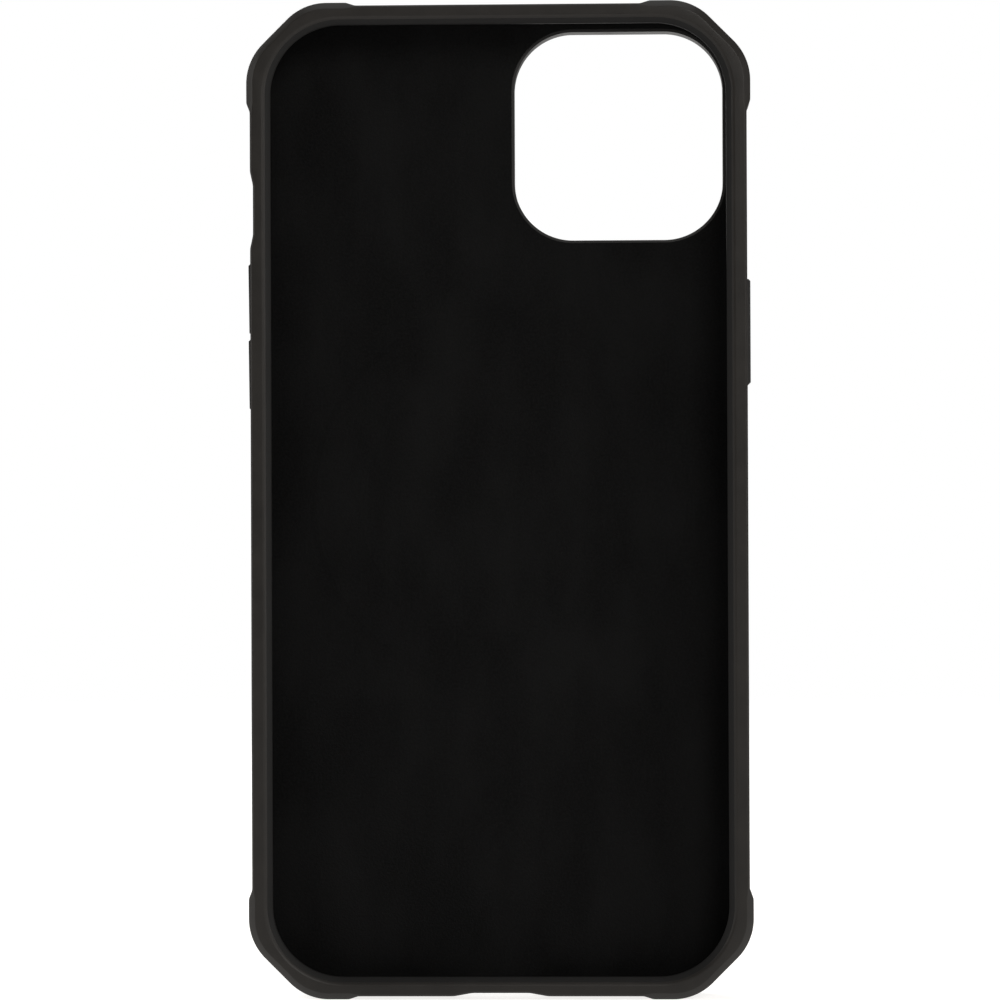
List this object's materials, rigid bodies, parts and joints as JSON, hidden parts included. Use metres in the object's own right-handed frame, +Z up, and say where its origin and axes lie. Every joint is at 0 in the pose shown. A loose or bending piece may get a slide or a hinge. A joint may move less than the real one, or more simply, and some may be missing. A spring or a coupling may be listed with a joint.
{
  "type": "phone case",
  "caption": "Rugged black phone case with raised corner bumpers, a bevelled screen lip, side keys, cut-outs and a raised camera guard.",
  "frame": {"origin": "middle of the flat rest under the bottom corner bumpers, half way through the case's depth", "axes": "+Z up along the case's length, +X to the right seen from the screen side, +Y from the screen side to the back"},
  "size_m": [0.0764, 0.013, 0.1512],
  "materials": {
    "frame_rubber": "matte black elastomer with a soft sheen and a fine moulded grain",
    "core_rubber": "matte black elastomer, a little darker than the frame",
    "plate_plastic": "fine spark-eroded black",
    "adhesive": "thin translucent tape",
    "panel_weave": "black twill-woven fibre under a satin coat",
    "lining_fabric": "short black microfibre nap",
    "guard_plastic": "matte black",
    "trim_metal": "black anodised, satin",
    "key_plastic": "satin black",
    "pad_rubber": "matte black silicone",
    "carrier_plastic": "thin natural film",
    "magnet_plating": "bright nickel plating",
    "impact_pad": "matte orange impact-absorbing gel"
  },
  "bodies": {
    "shell": {"outer_frame": "frame_rubber", "soft_core": "core_rubber", "back_plate": "plate_plastic", "panel_adhesive": "adhesive", "back_panel": "panel_weave", "inner_lining": "lining_fabric", "camera_guard": "guard_plastic", "camera_trim": "trim_metal", "magnet_carrier": "carrier_plastic", "magnet_ring": "magnet_plating", "alignment_magnet": "magnet_plating", "corner_pad_top_left": "impact_pad", "corner_pad_top_right": "impact_pad", "corner_pad_bottom_left": "impact_pad", "corner_pad_bottom_right": "impact_pad"},
    "volume_up": {"volume_up_key": "key_plastic", "volume_up_pad": "pad_rubber"},
    "volume_down": {"volume_down_key": "key_plastic", "volume_down_pad": "pad_rubber"},
    "power": {"power_key": "key_plastic", "power_pad": "pad_rubber"}
  },
  "joints": [
    {"name": "volume_up_press", "type": "slide", "parent": "shell", "child": "volume_up", "axis": [1, 0, 0], "range_m": [0, 0.00035], "stiffness_N_per_m": 1500},
    {"name": "volume_down_press", "type": "slide", "parent": "shell", "child": "volume_down", "axis": [1, 0, 0], "range_m": [0, 0.00035], "stiffness_N_per_m": 1500},
    {"name": "power_press", "type": "slide", "parent": "shell", "child": "power", "axis": [-1, 0, 0], "range_m": [0, 0.00035], "stiffness_N_per_m": 1500}
  ]
}
